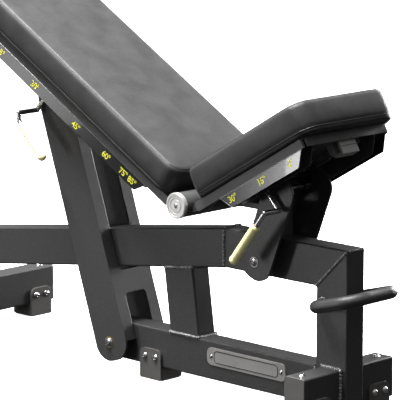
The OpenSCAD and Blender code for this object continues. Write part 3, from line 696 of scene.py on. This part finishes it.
def handle_welds():
    """Collars of weld where the lift handle's legs leave the post."""
    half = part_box("front_post")[1].y
    ends = [v.co for v in nodes["lift_handle"].data.vertices if abs(abs(v.co.y) - half) < ON_FACE]
    centre_x = (min(p.x for p in ends) + max(p.x for p in ends)) / 2
    centre_z = (min(p.z for p in ends) + max(p.z for p in ends)) / 2
    radius = (max(p.z for p in ends) - min(p.z for p in ends)) / 2 + PROUD
    for s, tag in ((-1, "near"), (1, "far")):
        y = s * (half + COLLAR_PROUD)
        ring = [Vector((centre_x + radius * math.cos(t), y, centre_z + radius * math.sin(t)))
                for t in np.linspace(0, 2 * math.pi, COLLAR_POINTS)]
        bead(f"weld_handle_{tag}", ring, 0.0022)


BORDER_END_GAP, BORDER_SIDE_GAP, BORDER_CORNER, BORDER_RADIUS = 0.02, 0.006, 0.008, 0.0008
BORDER_PROUD = 0.0001


def badge_border():
    """A plain raised line round the badge, in place of any lettering."""
    low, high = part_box("badge_plate")
    centre = (low + high) / 2
    half_x, half_z = (high.x - low.x) / 2 - BORDER_END_GAP, (high.z - low.z) / 2 - BORDER_SIDE_GAP
    path = [Vector((centre.x + p.x, low.y - BORDER_PROUD, centre.z + p.y))
            for p, _ in outline(-half_x, half_x, half_z, BORDER_CORNER, BORDER_CORNER)]
    verts, faces = tube(path, [BORDER_RADIUS] * len(path), closed=True, sides=8)
    line = mesh_object("badge_border", verts, faces, "satin_black")
    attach(line, "frame")


PLATE_SLANT = 0.022
EDGE_PROUD, EDGE_RADIUS = 0.0002, 0.0007


def plate_edge_highlights():
    """Painted highlight along the scale plates' chamfered edge: a thin light grey line along the top and down both
    slanted ends, standing in for the light the chamfer catches.
    """
    for node, matrix, body in (("seat_scale_plates", SEAT, "seat"),
                               ("backrest_scale_plates", BACK, "backrest")):
        low, high = extent(node, matrix)
        for s in (-1, 1):
            y = s * (high.y + EDGE_PROUD)
            corners = [(low.x + PLATE_SLANT, low.z), (low.x, high.z),
                       (high.x, high.z), (high.x - PLATE_SLANT, low.z)]
            path = [matrix @ Vector((a, y, n)) for a, n in corners]
            verts, faces = tube(path, [EDGE_RADIUS] * len(path), sides=6)
            line = mesh_object(f"{body}_plate_edge_{'near' if s < 0 else 'far'}", verts, faces, "painted_edge_highlight")
            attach(line, body)


# ---- angle marks ----
MARK_SIZE = 0.0185
MARK_DEPTH = 0.00015
MARK_BOLDER, MARK_SPACING = 0.0002, 0.95
MARK_PROUD = 0.0002


def mark(words, side, matrix, plate, a, n, body):
    """Painted angle mark on the near face of a scale plate, reading along the panel."""
    curve = bpy.data.curves.new("mark", "FONT")
    curve.body, curve.size, curve.extrude = words, MARK_SIZE, MARK_DEPTH
    curve.align_x, curve.align_y = "CENTER", "CENTER"
    curve.space_character = MARK_SPACING
    curve.offset = MARK_BOLDER
    letters = new_object("mark", curve)
    mesh = evaluated_mesh(letters)
    bpy.data.objects.remove(letters)
    face = extent(plate, matrix)[0].y - MARK_PROUD
    read = (matrix.to_3x3() @ Vector((side, 0, 0))).normalized()
    up = (matrix.to_3x3() @ Vector((0, 0, 1))).normalized()
    out = Vector((0, -1, 0))
    turn = Matrix((read, up, out)).transposed().to_4x4()
    mesh.transform(Matrix.Translation(matrix @ Vector((a, face, n))) @ turn)
    made = new_object(f"mark_{body}_{round(a * 1000)}", mesh)
    mesh.materials.clear()
    mesh.materials.append(LOOK["yellow_mark"])
    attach(made, body)


# each mark is (degrees, distance along the panel from the hinge), and a level is a place across the plate
SEAT_MARK_LEVEL, BACK_MARK_LEVEL = -0.042, -0.045
SEAT_MARKS = ((30, 0.133), (15, 0.22), (0, 0.304))
BACK_MARKS = ((85, 0.135), (75, 0.163), (60, 0.219), (45, 0.32), (30, 0.46), (15, 0.58), (0, 0.71))


def marks():
    for degrees, a in SEAT_MARKS:
        mark(f"{degrees}°", 1, SEAT, "seat_scale_plates", a, SEAT_MARK_LEVEL, "seat")
    for degrees, a in BACK_MARKS:
        mark(f"{degrees}°", -1, BACK, "backrest_scale_plates", a, BACK_MARK_LEVEL, "backrest")


# ---- light, floor and camera ----
def area_light(name, place, target, size, power):
    data = bpy.data.lights.new(name, "AREA")
    data.shape, data.size, data.size_y = "RECTANGLE", *size
    data.energy = power
    lamp = new_object(name, data)
    lamp.location = place
    lamp.rotation_euler = (Vector(target) - Vector(place)).to_track_quat("-Z", "Y").to_euler()


SKY_BELOW, SKY_LOW, SKY_OVERHEAD = grey(0.06), grey(0.16), grey(0.8)
LOW_AT = 0.25  # a height in the sky, from 0 at the horizon to 1 overhead


def sky():
    """A soft dome that is bright overhead, dim at the horizon and dark below it."""
    world = bpy.data.worlds.new("studio")
    bpy.context.scene.world = world
    world.use_nodes = True
    tree = world.node_tree
    direction = tree.nodes.new("ShaderNodeTexCoord")
    split = tree.nodes.new("ShaderNodeSeparateXYZ")
    ramp = tree.nodes.new("ShaderNodeValToRGB")
    tree.links.new(direction.outputs["Generated"], split.inputs[0])
    tree.links.new(split.outputs["Z"], ramp.inputs["Fac"])
    tree.links.new(ramp.outputs["Color"], tree.nodes["Background"].inputs["Color"])
    ramp.color_ramp.elements[0].color = (*SKY_BELOW, 1)
    ramp.color_ramp.elements[1].color = (*SKY_OVERHEAD, 1)
    edge = ramp.color_ramp.elements.new(LOW_AT)
    edge.color = (*SKY_LOW, 1)
    tree.nodes["Background"].inputs["Strength"].default_value = 1.0


FLOOR_HALF = 30


def studio():
    sky()
    corners = [(x * FLOOR_HALF, y * FLOOR_HALF, 0) for x, y in ((-1, -1), (1, -1), (1, 1), (-1, 1))]
    floor = mesh_object("floor", corners, [(0, 1, 2, 3)], "pale_floor")
    floor.visible_diffuse = floor.visible_glossy = False
    area_light("overhead", (-0.45, -0.6, 3.3), (0, 0, 0.4), (1.8, 1.8), 600)
    area_light("rim", (0.0, 2.8, 0.7), (0.2, 0, 0.4), (1.2, 1.2), 160)
    area_light("seat_plate_card", (-0.38, -1.3, 0.22), (0.5, -0.12, 0.5), (0.26, 0.3), 4.5)
    area_light("back_plate_card", (-1.5, -1.3, 0.38), (-0.45, -0.12, 0.75), (0.4, 0.3), 1.6)


CAMERA_AZIMUTH = math.radians(44.08)
CAMERA_ELEVATION = math.radians(10.72)
CAMERA_DISTANCE = 5.382
CAMERA_LENS = 242.1
SENSOR_WIDTH = 36
CLIP_END = 100
CAMERA_AIM = Vector((-0.0687, 0, -0.0162))


def camera():
    data = bpy.data.cameras.new("camera")
    data.lens, data.sensor_width = CAMERA_LENS, SENSOR_WIDTH
    data.clip_end = CLIP_END
    made = new_object("camera", data)
    flat = math.cos(CAMERA_ELEVATION)
    back = Vector((math.sin(CAMERA_AZIMUTH) * flat, -math.cos(CAMERA_AZIMUTH) * flat,
                   math.sin(CAMERA_ELEVATION)))
    made.location = HINGE + CAMERA_AIM + back * CAMERA_DISTANCE
    made.rotation_euler = (-back).to_track_quat("-Z", "Y").to_euler()
    bpy.context.scene.camera = made


bpy.context.scene.view_settings.view_transform = "Standard"
camera()
studio()
paint_nodes()
pads()
board_linings()
welds()
strut_welds()
handle_welds()
badge_border()
plate_edge_highlights()
marks()
